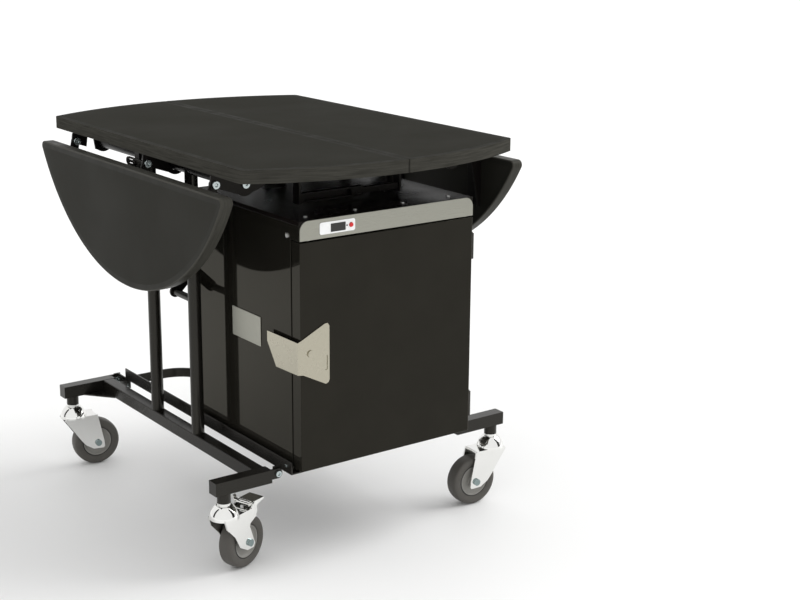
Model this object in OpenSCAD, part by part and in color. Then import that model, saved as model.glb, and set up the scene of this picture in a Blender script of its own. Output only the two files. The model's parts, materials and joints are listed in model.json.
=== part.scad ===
// Folding room service table with a heated food cabinet.
// The floor is z = 0, the table centre is x = y = 0 and the cabinet door faces -y.
// The two drop leaves hang down on the left and right.

/* [Table top] */
// Height of the table top above the floor
top_height = 762; // [730:1:800]
// Thickness of the boards of the top and the drop leaves
board_thickness = 24; // [20:1:28]
// Half of the fixed top's width, from the centre seam to the leaf joint
half_width = 300; // [290:1:320]
// Half of the top's depth along its straight side edges
side_depth = 382; // [370:1:395]
// Half of the top's depth at the centre seam
seam_depth = 457; // [440:1:475]
// Gap between the two halves of the top
seam_gap = 1.2; // [0.8:0.1:3]
// Width of the moulded edge around every board
edge_width = 12; // [8:1:18]
// Radius of the top's outer corners, seen from above
corner_radius = 11; // [6:1:16]
// Radius of the corners at the ends of the centre seam
seam_corner_radius = 3; // [2:0.5:5]

/* [Drop leaves] */
// Half of a drop leaf's length along its hinged edge
leaf_half_length = 382; // [370:1:390]
// How far a raised drop leaf reaches out
leaf_reach = 233; // [200:1:250]
// Radius of a drop leaf's corners
leaf_corner_radius = 10; // [8:1:16]
// Gap between a raised drop leaf and the top
leaf_gap = 1; // [0.8:0.1:2]
// Depth of the leaf pivots below the table surface
pivot_depth = 41; // [40:1:46]
// How far the leaf pivots lie inside the top's side edge
pivot_inset = 5; // [4:0.5:6]
// Places of the three leaf hinges along the table
hinge_places = [-284, -26, 290];
// Thickness of the hinge straps and top brackets
hinge_plate = 4; // [3:0.5:5]
// Length of a hinge strap under its leaf
strap_length = 105; // [90:1:120]
// Width of a hinge strap's flange
strap_width = 40; // [30:1:46]

/* [Side frames] */
// Distance from the centre line to the middle of a side frame
frame_offset = 234.5; // [230:0.5:238]
// Width of the square base tube
tube_size = 25.4; // [22:0.2:28]
// Wall of the base tubes, uprights and cross tubes
tube_wall = 1.6; // [1.2:0.1:2.4]
// Height of the base tubes' underside above the floor
base_height = 161; // [158:1:170]
// Half of the base's length over the caster arms
base_half_length = 339.7; // [325:0.5:350]
// How far the base's middle lies behind the table's middle
base_shift = 3.5; // [-5:0.5:5]
// Distance from the centre line to an arm's outer end
arm_reach = 338; // [332:1:345]
// Diameter of the uprights and the cross tubes
upright_diameter = 25.4; // [22:0.2:28]
// Half of the distance between the two uprights of a side frame
upright_half_spacing = 85; // [75:1:95]
// Depth of the cross tubes' centre below the boards
cross_tube_drop = 22; // [20:1:26]
// Size of the corner gusset behind each rear arm
gusset_size = [47, 57];
// Thickness of the corner gusset
gusset_thickness = 3; // [2:0.5:5]

/* [Fold links] */
// Height of a fold link's lower pivot
link_low_height = 457; // [440:1:480]
// Distance from the seam to a fold link's upper pivot
link_top_offset = 40; // [30:1:60]
// Depth of a fold link's upper pivot below the boards
link_top_drop = 16; // [13:1:22]
// Width of a fold link
link_width = 22; // [16:1:28]
// Thickness of a fold link
link_thickness = 5; // [3:0.5:6]
// Radius of the pin that carries a link's lower end
link_pin_radius = 7; // [5:0.5:8]
// Gap between the cabinet's back and the front fold link
link_clearance = 10.5; // [8:0.5:14]

/* [Cabinet carrier] */
// Distance from the centre line to the outside of a carrier rail
carrier_offset = 204; // [203:0.5:206]
// Height of a carrier rail's underside above the floor
carrier_height = 187; // [187:0.5:192]
// Height and width of the carrier rail's angle section
carrier_angle = 24.2; // [20:0.1:28]
// Thickness of the carrier rail's angle section
carrier_wall = 3; // [2:0.5:4]
// How far the carrier rails stand out in front of the base
carrier_overhang = 42.8; // [30:0.1:60]
// How far the carrier rails end before the base's rear face
carrier_rear_gap = 47.2; // [40:0.1:60]
// How far the rear bow bar lies before the rails' rear ends
bow_inset = 50; // [40:1:60]
// Bend radius of the rear bow bar
bow_radius = 75; // [60:1:80]
// Height of the rear bow bar
bow_height = 20; // [15:1:24]
// Thickness of the rear bow bar
bow_thickness = 4; // [3:0.5:6]

/* [Heated cabinet] */
// Outside width of the cabinet
cabinet_width = 388; // [370:1:394]
// How far the door's face stands in front of the carrier rails
cabinet_overhang = 20; // [12:1:30]
// Outside depth of the cabinet with its door
cabinet_depth = 379; // [360:1:381]
// Free height between the cabinet's lid and the boards of the top
cabinet_clearance = 75.5; // [70:0.5:90]
// Depth of the lid's folded rim
lid_depth = 8.5; // [6:0.5:12]
// How far the lid stands out beyond the cabinet's sides
lid_lip = 0.6; // [0.4:0.1:1.5]
// Thickness of the cabinet's insulated walls
cabinet_wall = 26; // [20:1:32]
// Thickness of the sheet that the cabinet and its door are folded from
sheet = 1.5; // [0.8:0.1:2]
// Thickness of the steel liner
liner_wall = 1; // [0.8:0.1:1.5]
// Thickness of the door
door_thickness = 28; // [22:1:34]
// Gap between the door and the cabinet body
door_gap = 3; // [2.4:0.1:4]
// Height of the door's lower edge above the cabinet's underside
door_lift = 6.2; // [4:0.1:9]
// Height of the control header above the door
header_height = 36.5; // [30:0.5:42]
// Radius of the fascia's upper corners
fascia_radius = 18; // [8:1:22]
// Length of a door hinge's barrel
hinge_length = 49; // [40:1:60]
// Radius of a door hinge's barrel
barrel_radius = 5.5; // [4.5:0.5:5.5]
// Heights of the two shelves above the cavity's floor
shelf_heights = [112, 232];

/* [Casters] */
// Radius of a caster's wheel
wheel_radius = 50.8; // [45:0.1:54]
// Width of a caster's tyre
tyre_width = 32; // [26:1:34]
// Radius of a caster's hub
hub_radius = 33; // [26:1:36]
// Distance from the swivel axis to the wheel's axle
caster_trail = 47; // [38:1:48]
// Distance from the centre line to a caster's swivel axis
caster_offset = 315; // [305:1:320]
// Gap between a tyre's top and the plate of its fork
wheel_clearance = 10.9; // [9:0.1:14]
// Length of the stem above a caster's bell
stem_length = 18; // [14:0.5:22]
// Radius of the bell's lower rim
bell_radius = 28; // [26:0.5:30]
// Swivel angles of the casters: front left, rear left, front right, rear right
caster_angles = [20, -6, 176, 184];
// Thickness of a fork's steel
fork_wall = 3; // [2:0.5:4]
// Radius of a wheel's axle
axle_radius = 5; // [4:0.5:6]

/* [Fits] */
// Gap between faces that pass each other
running_gap = 0.3; // [0.2:0.05:0.5]
// Radial clearance of a pin in its hole
pin_clearance = 0.05; // [0.02:0.01:0.1]

/* [Hidden] */
$fn = 64;

black_coat = [0.08, 0.08, 0.085];
board_colour = [0.13, 0.13, 0.13];
edge_colour = [0.17, 0.17, 0.16];
zinc = [0.72, 0.74, 0.74];
chrome = [0.8, 0.8, 0.82];
steel = [0.7, 0.69, 0.66];

underside = top_height - board_thickness;
pivot_x = half_width - pivot_inset;
pivot_z = top_height - pivot_depth;
cross_tube_height = underside - cross_tube_drop;
// Circle through the corners and the seam points of the top
arc_rise = seam_depth - side_depth;
top_arc_radius = (half_width * half_width + arc_rise * arc_rise) / (2 * arc_rise);
top_arc_centre = seam_depth - top_arc_radius;
leaf_arc_radius = (leaf_half_length * leaf_half_length + leaf_reach * leaf_reach) / (2 * leaf_reach);
leaf_edge_x = half_width + leaf_gap;

arm_y = base_half_length - tube_size / 2;
base_top = base_height + tube_size;
arm_inner = frame_offset - tube_size / 2 - 3;
rail_half_length = base_half_length - tube_size;

bolt_radius = 4;
bolt_head_radius = 7.5;
bolt_head = 5;
nut_radius = 6.5;
nut_height = 5;
strap_offset = hinge_plate + running_gap;
nut_offset = strap_offset + hinge_plate + running_gap;
ear_radius = 10;

lug_x = carrier_offset + 2;
lug_radius = 9.5;
lug_rise = 16;
lug_z = base_height + lug_rise;
lug_thickness = 5;

carrier_front = base_shift - base_half_length - carrier_overhang;
carrier_rear = base_shift + base_half_length - carrier_rear_gap;
bow_place = carrier_rear - bow_inset;

half_cabinet = cabinet_width / 2;
cabinet_front = carrier_front - cabinet_overhang;
cabinet_back = cabinet_front + cabinet_depth;
cabinet_top = underside - cabinet_clearance;
cabinet_floor = carrier_height + carrier_wall + running_gap;
door_back = cabinet_front + door_thickness;
body_front = door_back + door_gap;
body_top = cabinet_top - lid_depth;
fascia_thickness = 2;
header_front = cabinet_front + fascia_thickness;
header_bottom = cabinet_top - header_height;
door_bottom = cabinet_floor + door_lift;
door_top = header_bottom - 2;
cavity_half = half_cabinet - cabinet_wall;
cavity_bottom = cabinet_floor + cabinet_wall + 6;
cavity_top = header_bottom - 22;
cavity_back = cabinet_back - cabinet_wall;
// The axis lies outside the cabinet's side, so the door's corners clear the body as it opens
door_axis = [half_cabinet + barrel_radius + 0.5, cabinet_front + 11];
door_pin_radius = 2.5;
door_hinge_heights = [door_bottom + 27.5, door_top - 83.5];

panel_centre = -115;
panel_size = [76, 22];
panel_thickness = 1.2;
panel_z = cabinet_top - 17.5;
button_x = panel_centre + 29;
button_radius = 4;

stem_bottom = base_height - stem_length;
bell_top = stem_bottom - running_gap;
kingpin_radius = 6;
bridge_z = 2 * wheel_radius + wheel_clearance;
bridge_top = bridge_z + fork_wall;
kingpin_head = 3;
fork_half_width = tyre_width / 2 + 2 + fork_wall;
brake_pivot = [caster_trail + 17, bridge_z + 3.5];
axle = [caster_trail, wheel_radius];
// The bell's outline is an arc that ends below a short collar
bell_inset = 2.6;
collar_radius = 13;
collar_height = 4.7;
bell_turn = asin((bell_top - bridge_z - collar_height) / (bell_radius + bell_inset));

link_low = [frame_offset, link_low_height];
link_high = [link_top_offset, underside - link_top_drop];
link_front = cabinet_back + link_clearance;
link_gap = 2;
second_link_front = link_front + link_thickness + link_gap;

// A plate that stands across the table, drawn in x and z, from y0 to y0 + t
module plate_xz(y0, t) {
    translate([0, y0 + t, 0]) rotate([90, 0, 0]) linear_extrude(t) children();
}

// A plate that stands along the table, drawn in y and z, from x0 to x0 + t
module plate_yz(x0, t) {
    translate([x0, 0, 0]) rotate([90, 0, 90]) linear_extrude(t) children();
}

// A round bar along y
module bar_y(x, z, y0, length, r) {
    translate([x, y0, z]) rotate([-90, 0, 0]) cylinder(h = length, r = r);
}

// A block from its low corner to its high corner
module block(low, high) {
    translate(low) cube(high - low);
}

// A pair of parts, mirrored left and right
module both_sides() {
    children();
    mirror([1, 0, 0]) children();
}

// Both ends of a part, mirrored front and rear
module both_ends() {
    children();
    mirror([0, 1, 0]) children();
}

// A rectangle with round corners about its centre
module round_rectangle(size, r) {
    square([size[0] - 2 * r, size[1]], center = true);
    square([size[0], size[1] - 2 * r], center = true);
    for (sx = [-1, 1]) for (sy = [-1, 1])
        translate([sx * (size[0] / 2 - r), sy * (size[1] / 2 - r)]) circle(r = r);
}

// Cuts the corner between a straight edge and an arc back to a round corner.
// The edge is x = edge, the arc has its centre at [0, centre] and the radius arc.
module corner_cut(edge, centre, arc, r) {
    rise = sqrt(pow(arc - r, 2) - pow(edge - r, 2));
    middle = [edge - r, centre + rise];
    tangent = [middle[0], middle[1] - centre] * (arc / (arc - r));
    difference() {
        polygon([middle, [edge, middle[1]], [edge + 1, middle[1]], [edge + 1, middle[1] + 2 * r],
            [tangent[0], middle[1] + 2 * r], [tangent[0], centre + tangent[1]]]);
        translate(middle) circle(r = r);
    }
}

// Outline of one half of the fixed top, on the +x side, moved in by inset
module half_top_outline(inset) {
    w = half_width - inset;
    s = seam_gap / 2 + inset;
    arc = top_arc_radius - inset;
    intersection() {
        translate([s, -seam_depth]) square([w - s, 2 * seam_depth]);
        translate([0, top_arc_centre]) circle(r = arc, $fn = 256);
        translate([0, -top_arc_centre]) circle(r = arc, $fn = 256);
    }
}

module half_top_rounded() {
    difference() {
        half_top_outline(0);
        for (k = [0, 1]) mirror([0, k]) {
            corner_cut(half_width, top_arc_centre, top_arc_radius, corner_radius);
            mirror([1, 0])
                corner_cut(-seam_gap / 2, top_arc_centre, top_arc_radius, seam_corner_radius);
        }
    }
}

// Outline of a raised drop leaf on the +x side, with its hinged edge at x = leaf_edge_x
module leaf_outline(inset) {
    centre = leaf_edge_x + leaf_reach - leaf_arc_radius;
    intersection() {
        translate([leaf_edge_x + inset, -leaf_half_length])
            square([leaf_reach, 2 * leaf_half_length]);
        translate([centre, 0]) circle(r = leaf_arc_radius - inset, $fn = 256);
    }
}

module leaf_rounded() {
    // the leaf's arc is the same curve as a top's arc turned through a right angle
    centre = leaf_reach - leaf_arc_radius;
    difference() {
        leaf_outline(0);
        for (k = [0, 1]) mirror([0, k])
            translate([leaf_edge_x, 0]) mirror([1, 0])
                leaf_corner_cut(centre, leaf_arc_radius, leaf_corner_radius);
    }
}

// Cuts the corner between the leaf's straight edge x = 0 and its arc, drawn on the -x side
module leaf_corner_cut(centre, arc, r) {
    rise = sqrt(pow(arc - r, 2) - pow(centre - r, 2));
    middle = [-r, rise];
    tangent = [-centre, 0] + (middle - [-centre, 0]) * (arc / (arc - r));
    difference() {
        polygon([middle, [0, middle[1]], [1, middle[1]], [1, middle[1] + 2 * r],
            [tangent[0], middle[1] + 2 * r], tangent]);
        translate(middle) circle(r = r);
    }
}

// Hangs a part down from its raised place on the +x side
module hanging() {
    translate([pivot_x, 0, pivot_z]) rotate([0, 90, 0]) translate([-pivot_x, 0, -pivot_z]) children();
}

module top_board() {
    translate([0, 0, underside]) linear_extrude(board_thickness) half_top_outline(edge_width);
}

module top_edge() {
    translate([0, 0, underside]) linear_extrude(board_thickness) difference() {
        half_top_rounded();
        half_top_outline(edge_width);
    }
}

module leaf_board() {
    hanging() translate([0, 0, underside]) linear_extrude(board_thickness) leaf_outline(edge_width);
}

module leaf_edge() {
    hanging() translate([0, 0, underside]) linear_extrude(board_thickness) difference() {
        leaf_rounded();
        leaf_outline(edge_width);
    }
}

module left_top_board() { color(board_colour) mirror([1, 0, 0]) top_board(); }
module right_top_board() { color(board_colour) top_board(); }
module left_top_edge() { color(edge_colour) mirror([1, 0, 0]) top_edge(); }
module right_top_edge() { color(edge_colour) top_edge(); }
module left_leaf_board() { color(board_colour) mirror([1, 0, 0]) leaf_board(); }
module right_leaf_board() { color(board_colour) leaf_board(); }
module left_leaf_edge() { color(edge_colour) mirror([1, 0, 0]) leaf_edge(); }
module right_leaf_edge() { color(edge_colour) leaf_edge(); }

// One strap of a leaf hinge: a flange under the leaf and a web that reaches the pivot
module leaf_strap(y) {
    web_start = y + strap_offset;
    flange_start = leaf_edge_x + 15;
    flange_end = leaf_edge_x + strap_length;
    flange = 3;
    difference() {
        union() {
            plate_xz(web_start, hinge_plate) {
                translate([pivot_x, pivot_z]) circle(r = ear_radius - 1);
                polygon([[pivot_x + 4, pivot_z - 8], [flange_end, underside - flange - 4],
                    [flange_end, underside - flange], [flange_start, underside - flange],
                    [pivot_x, pivot_z + ear_radius - 1]]);
            }
            block([flange_start, web_start, underside - flange],
                [flange_end, web_start + strap_width, underside]);
        }
        bar_y(pivot_x, pivot_z, y - 1, 3 * hinge_plate, bolt_radius + pin_clearance);
    }
}

module leaf_straps() {
    hanging() for (y = hinge_places) leaf_strap(y);
}

module left_leaf_straps() { color(black_coat) mirror([1, 0, 0]) leaf_straps(); }
module right_leaf_straps() { color(black_coat) leaf_straps(); }

lever_y = 16;
lever_front = -9;
lever_back = 46;
lever_half_height = 8;
lever_thickness = 4;
lever_x = pivot_x + 1;
lever_z = pivot_z - 4;
lever_slot = 2.6;

// The slotted release lever beside the middle hinge
module lock_lever() {
    slot_start = lever_y + 9;
    plate_yz(lever_x, lever_thickness) difference() {
        union() {
            translate([lever_front, lever_z - lever_half_height])
                square([lever_back - lever_front, 2 * lever_half_height]);
            translate([lever_back, lever_z]) circle(r = lever_half_height);
        }
        for (s = [-1, 1]) translate([slot_start, lever_z + s * 3.4 - lever_slot / 2])
            square([lever_back - slot_start, lever_slot]);
        translate([lever_y, lever_z]) circle(r = 3 + pin_clearance);
    }
}

module left_lock_lever() { color(black_coat) mirror([1, 0, 0]) lock_lever(); }
module right_lock_lever() { color(black_coat) lock_lever(); }

// One bracket under the top, with the leaf's pivot at its outer end and the tube's boss
module top_bracket(y, notched) {
    boss = 22;
    difference() {
        plate_xz(y, hinge_plate) difference() {
            union() {
                translate([pivot_x, pivot_z]) circle(r = ear_radius);
                translate([frame_offset, cross_tube_height]) circle(r = boss);
                polygon([[pivot_x + 8, underside], [pivot_x + ear_radius, pivot_z],
                    [pivot_x - 6, pivot_z - 8], [frame_offset + 14, cross_tube_height - 17],
                    [frame_offset - 14, cross_tube_height - 17],
                    [frame_offset - 36, cross_tube_height - 9], [frame_offset - 70, underside]]);
            }
            translate([0, underside]) square([2 * half_width, 60]);
            if (notched) {
                notch = [(pivot_x + frame_offset) / 2 - 1, underside - 12];
                translate(notch) circle(r = 7);
                polygon([notch + [-6.5, 2], notch + [6.5, 2], notch + [13, -40], notch + [-13, -40]]);
            }
        }
        bar_y(pivot_x, pivot_z, y - 1, hinge_plate + 2, bolt_radius + pin_clearance);
    }
}

module top_brackets() {
    for (k = [0 : 2]) difference() {
        top_bracket(hinge_places[k], k == 2);
        if (k == 1)
            bar_y(frame_offset, cross_tube_height, hinge_places[k] - 1, hinge_plate + 2,
                upright_diameter / 2 + running_gap);
        else
            bar_y(frame_offset, cross_tube_height, hinge_places[k] - 1, hinge_plate + 2,
                bolt_radius + pin_clearance);
    }
    // hanger and pin of the lock lever
    hanger_x = lever_x - running_gap - 6;
    block([hanger_x, lever_y - 9, lever_z - 7], [hanger_x + 6, lever_y + 9, underside]);
    translate([hanger_x, lever_y, lever_z]) rotate([0, 90, 0])
        cylinder(h = 6 + 2 * running_gap + lever_thickness, r = 3);
    translate([lever_x + lever_thickness + running_gap, lever_y, lever_z]) rotate([0, 90, 0])
        cylinder(h = 2, r = 5);
}

module left_top_brackets() { color(black_coat) mirror([1, 0, 0]) top_brackets(); }
module right_top_brackets() { color(black_coat) top_brackets(); }

module leaf_bolts() {
    color(zinc) both_sides() for (y = hinge_places) {
        bar_y(pivot_x, pivot_z, y - bolt_head, bolt_head, bolt_head_radius);
        bar_y(pivot_x, pivot_z, y, nut_offset, bolt_radius);
        bar_y(pivot_x, pivot_z, y + nut_offset, nut_height, nut_radius);
    }
}

// The middle hinge lies behind the fold links' lugs
middle_hinge_gap = 62.5;
seam_hinge_places = [-340, second_link_front + middle_hinge_gap, 330];
seam_hinge_leaf = 30;
seam_hinge_length = 66;

// Three butt hinges under the seam
module seam_hinges() {
    leaf = seam_hinge_leaf;
    thickness = 2.5;
    length = seam_hinge_length;
    knuckle = 4.5;
    pin = 2;
    axis_z = underside - knuckle;
    third = length / 3;
    color(zinc) for (y = seam_hinge_places) {
        // the left leaf has the two end knuckles
        difference() {
            union() {
                block([-leaf, y - length / 2, underside - thickness],
                    [-seam_gap, y + length / 2, underside]);
                for (s = [-1, 1]) bar_y(0, axis_z, y - third / 2 + s * third, third, knuckle);
            }
            bar_y(0, axis_z, y - length, 2 * length, pin + pin_clearance);
            block([-seam_gap, y - third / 2 - running_gap, axis_z - knuckle],
                [leaf, y + third / 2 + running_gap, underside]);
            block([-leaf, y - third / 2 - running_gap, axis_z - knuckle],
                [0, y + third / 2 + running_gap, underside - thickness]);
        }
        // the right leaf has the middle knuckle
        difference() {
            union() {
                block([knuckle + running_gap, y - length / 2, underside - thickness],
                    [leaf, y + length / 2, underside]);
                block([0, y - third / 2, underside - thickness], [leaf, y + third / 2, underside]);
                bar_y(0, axis_z, y - third / 2, third, knuckle);
            }
            bar_y(0, axis_z, y - length, 2 * length, pin + pin_clearance);
        }
        bar_y(0, axis_z, y - length / 2, length, pin);
    }
}

// The toggle stay that locks the two halves flat, near the front
module seam_stay() {
    left = 126;
    right = 96;
    y = -296;
    depth = 14;
    drop = 67.5;
    low = underside - drop;
    high = low + 17;
    color(black_coat) {
        block([-left - 4, y - 2, low - 2], [-left, y + depth + 4, underside]);
        block([right, y - 2, low - 2], [right + 4, y + depth + 4, underside]);
        difference() {
            block([-left + running_gap, y, low], [14, y + depth, high]);
            block([-left + 8, y - 1, low + 2.5], [16, y + depth - 2.5, high - 2.5]);
            bar_y(0, (low + high) / 2, y, depth + 1, 3 + pin_clearance);
        }
        difference() {
            block([-12, y + 1, low + 3], [right - running_gap, y + depth - 3, high - 3]);
            bar_y(0, (low + high) / 2, y, depth + 1, 3 + pin_clearance);
        }
        bar_y(0, (low + high) / 2, y + 1, depth + 1, 3);
    }
}

// A hollow square tube with closed ends, from one corner to the other
module box_tube(low, high) {
    wall = [tube_wall, tube_wall, tube_wall];
    difference() {
        block(low, high);
        block(low + wall, high - wall);
    }
}

module base_rail() {
    translate([0, base_shift, 0])
        box_tube([frame_offset - tube_size / 2, -rail_half_length, base_height],
            [frame_offset + tube_size / 2, rail_half_length, base_top]);
}

module base_rails() { color(black_coat) both_sides() base_rail(); }

// One arm with the lug for the carrier rail, at the +y end
module base_arm() {
    difference() {
        union() {
            box_tube([arm_inner, arm_y - tube_size / 2, base_height],
                [arm_reach, arm_y + tube_size / 2, base_top]);
            plate_xz(base_half_length - lug_thickness, lug_thickness) {
                translate([lug_x, lug_z]) circle(r = lug_radius);
                translate([lug_x, lug_z - lug_radius])
                    square([arm_inner - lug_x + 1, 2 * lug_radius]);
            }
        }
        bar_y(lug_x, lug_z, base_half_length - 2 * lug_thickness, 3 * lug_thickness,
            bolt_radius + pin_clearance);
    }
}

module arms() {
    outer = frame_offset + tube_size / 2;
    translate([0, base_shift, 0]) both_ends() base_arm();
    translate([0, base_shift, base_height]) linear_extrude(gusset_thickness)
        polygon([[outer, rail_half_length], [outer + gusset_size[0], rail_half_length],
            [outer, rail_half_length - gusset_size[1]]]);
}

module caster_arms() { color(black_coat) both_sides() arms(); }

// Stem under an arm with the kingpin, whose head holds the fork's plate from below
module caster_stem() {
    pin_end = bridge_z - running_gap - kingpin_head;
    translate([caster_offset, arm_y, 0]) {
        translate([0, 0, stem_bottom]) cylinder(h = stem_length, r = upright_diameter / 2);
        translate([0, 0, pin_end]) cylinder(h = stem_bottom - pin_end + 1, r = kingpin_radius);
        translate([0, 0, pin_end]) cylinder(h = kingpin_head, r = kingpin_radius + 4);
    }
}

module caster_stems() {
    color(black_coat) both_sides() translate([0, base_shift, 0]) both_ends() caster_stem();
}

// The two uprights of a side frame, coped to the cross tube; the front one takes the link pin
module upright_pair() {
    r = upright_diameter / 2;
    difference() {
        for (s = [-1, 1]) translate([frame_offset, s * upright_half_spacing, base_top]) difference() {
            cylinder(h = cross_tube_height - base_top, r = r);
            translate([0, 0, tube_wall])
                cylinder(h = cross_tube_height - base_top - 2 * r, r = r - tube_wall);
        }
        bar_y(frame_offset, cross_tube_height, -2 * upright_half_spacing, 4 * upright_half_spacing,
            r + pin_clearance);
        bar_y(link_low[0], link_low[1], -upright_half_spacing, r + 1,
            link_pin_radius + pin_clearance);
    }
}

module uprights() { color(black_coat) both_sides() upright_pair(); }

tube_front = hinge_places[0] + hinge_plate;
tube_back = hinge_places[2];

module cross_tubes() {
    r = upright_diameter / 2;
    color(black_coat) both_sides() difference() {
        bar_y(frame_offset, cross_tube_height, tube_front, tube_back - tube_front, r);
        bar_y(frame_offset, cross_tube_height, tube_front + 22, tube_back - tube_front - 44,
            r - tube_wall);
        bar_y(frame_offset, cross_tube_height, tube_front - 1, 18, bolt_radius + pin_clearance);
        bar_y(frame_offset, cross_tube_height, tube_back - 17, 18, bolt_radius + pin_clearance);
    }
}

tab_thickness = 4;
tab_outer = base_half_length - lug_thickness - running_gap;

// Round rivet head on the outside of a carrier rail
module rail_rivet(y, z, r) {
    translate([carrier_offset, y, z]) rotate([0, 90, 0]) cylinder(h = 2, r = r);
}

// Pivot bolts at the cross tubes' ends and at the carrier rails' lugs, and the rails' rivets
module frame_bolts() {
    color(zinc) both_sides() {
        bar_y(frame_offset, cross_tube_height, hinge_places[0] - bolt_head, bolt_head,
            bolt_head_radius);
        bar_y(frame_offset, cross_tube_height, hinge_places[0], hinge_plate + 16, bolt_radius);
        bar_y(frame_offset, cross_tube_height, tube_back - 16, hinge_plate + 16, bolt_radius);
        bar_y(frame_offset, cross_tube_height, tube_back + hinge_plate, bolt_head, bolt_head_radius);
        translate([0, base_shift, 0]) both_ends() {
            bar_y(lug_x, lug_z, base_half_length, 4, 6);
            bar_y(lug_x, lug_z, tab_outer - tab_thickness,
                base_half_length - tab_outer + tab_thickness, bolt_radius);
            bar_y(lug_x, lug_z, tab_outer - tab_thickness - nut_height, nut_height, nut_radius);
        }
        rail_rivet(carrier_rear - 13, lug_z - 1, 3.5);
        rail_rivet(carrier_front + 16, carrier_height + 14, 3);
    }
}

link_run = link_high + [frame_offset, 0] - [0, link_low[1]];
link_length = norm(link_run);
link_angle = atan2(link_run[1], link_run[0]);

// A fold link rises from the left frame's pin to the right half of the top
module fold_link() {
    translate([-link_low[0], link_low[1]]) rotate(link_angle) difference() {
        union() {
            translate([0, -link_width / 2]) square([link_length, link_width]);
            circle(r = link_width / 2);
            translate([link_length, 0]) circle(r = link_width / 2);
        }
        circle(r = link_pin_radius + pin_clearance);
        translate([link_length, 0]) circle(r = bolt_radius + pin_clearance);
    }
}

module fold_links() {
    color(black_coat) {
        plate_xz(link_front, link_thickness) fold_link();
        plate_xz(second_link_front, link_thickness) mirror([1, 0]) fold_link();
    }
}

// Pins in the front uprights that carry the links' lower ends
module link_pins() {
    start = -upright_half_spacing + 4;
    shoulder = 1.5;
    color(black_coat) {
        for (k = [0, 1]) {
            side = k == 0 ? -1 : 1;
            front = k == 0 ? link_front : second_link_front;
            bar_y(side * link_low[0], link_low[1], start, front + link_thickness - start,
                link_pin_radius);
            bar_y(side * link_low[0], link_low[1], front + link_thickness, 3,
                link_pin_radius + 2 * shoulder);
        }
    }
}

// Lugs under the two halves of the top that take the links' upper ends
module link_lugs() {
    plate = 4;
    color(black_coat) for (k = [0, 1]) {
        side = k == 0 ? 1 : -1;
        y = k == 0 ? link_front - running_gap - plate
            : second_link_front + link_thickness + running_gap;
        pin_start = k == 0 ? y : second_link_front;
        difference() {
            plate_xz(y, plate) {
                translate([side * link_high[0], link_high[1]]) circle(r = 11);
                translate([side * link_high[0] - 11, link_high[1]])
                    square([22, underside - link_high[1]]);
            }
        }
        block([side * link_high[0] - 18, y - 8, underside - 2.5],
            [side * link_high[0] + 18, y + 12, underside]);
        bar_y(side * link_high[0], link_high[1], pin_start,
            plate + running_gap + link_thickness, bolt_radius);
    }
}

// Angle rail that carries the cabinet, with a tab down to each lug
module carrier_rail() {
    outer = carrier_offset;
    top = carrier_height + carrier_wall;
    nut_top = lug_z + nut_radius + 1;
    plate_xz(carrier_front, carrier_rear - carrier_front)
        polygon([[outer, carrier_height], [outer, carrier_height + carrier_angle],
            [outer - carrier_wall, carrier_height + carrier_angle], [outer - carrier_wall, top],
            [outer - carrier_angle, top], [outer - carrier_angle, carrier_height]]);
    for (k = [0, 1]) {
        y = base_shift + (k == 0 ? -tab_outer : tab_outer - tab_thickness);
        difference() {
            plate_xz(y, tab_thickness) {
                translate([lug_x, lug_z]) circle(r = lug_radius - 1);
                translate([lug_x - lug_radius + 1, lug_z])
                    square([2 * lug_radius - 4, top - lug_z]);
            }
            bar_y(lug_x, lug_z, y - 1, tab_thickness + 2, bolt_radius + pin_clearance);
        }
    }
    // the rail ends short of the rear lug, so a plate beside it runs back to the tab there
    tab_back = base_shift + tab_outer;
    plate_front = carrier_rear - 20;
    plate_step = tab_back - tab_thickness - nut_height - 2;
    plate_yz(outer - carrier_wall, carrier_wall)
        polygon([[plate_front, lug_z - 6], [plate_step, lug_z - 6], [plate_step, nut_top],
            [tab_back, nut_top], [tab_back, top], [plate_front, top]]);
}

module carrier_rails() { color(black_coat) both_sides() carrier_rail(); }

bow_turn = 60;
bow_reach = carrier_offset - carrier_wall - running_gap;
bow_straight = 60;
bow_bottom = carrier_height + carrier_wall + running_gap;

bow_steps = 16;
bow_first = [bow_reach - bow_straight, bow_place - bow_radius];
bow_second = bow_first + (2 * bow_radius - bow_thickness) * [-sin(bow_turn), cos(bow_turn)];

// One long edge of the bow bar on the +x side, seen from above, from its end to its middle:
// a straight end, a bend about bow_first and a bend back about bow_second
function bow_edge(depth) = concat(
    [[bow_reach, bow_place - depth]],
    [for (i = [0 : bow_steps]) let (a = 90 + i * bow_turn / bow_steps)
        bow_first + (bow_radius - depth) * [cos(a), sin(a)]],
    [for (i = [1 : bow_steps]) let (a = 270 + bow_turn - i * bow_turn / bow_steps)
        bow_second + (bow_radius - bow_thickness + depth) * [cos(a), sin(a)]]);

function mirrored(points) = [for (i = [len(points) - 1 : -1 : 0]) [-points[i][0], points[i][1]]];

function backwards(points) = [for (i = [len(points) - 1 : -1 : 0]) points[i]];

// Flat bar on edge that joins the rails at the rear and bows forward to leave foot room
module rear_bow() {
    rear = bow_edge(0);
    front = bow_edge(bow_thickness);
    color(black_coat) translate([0, 0, bow_bottom]) linear_extrude(bow_height)
        polygon(concat(rear, mirrored(rear), backwards(mirrored(front)), backwards(front)));
}

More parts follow.
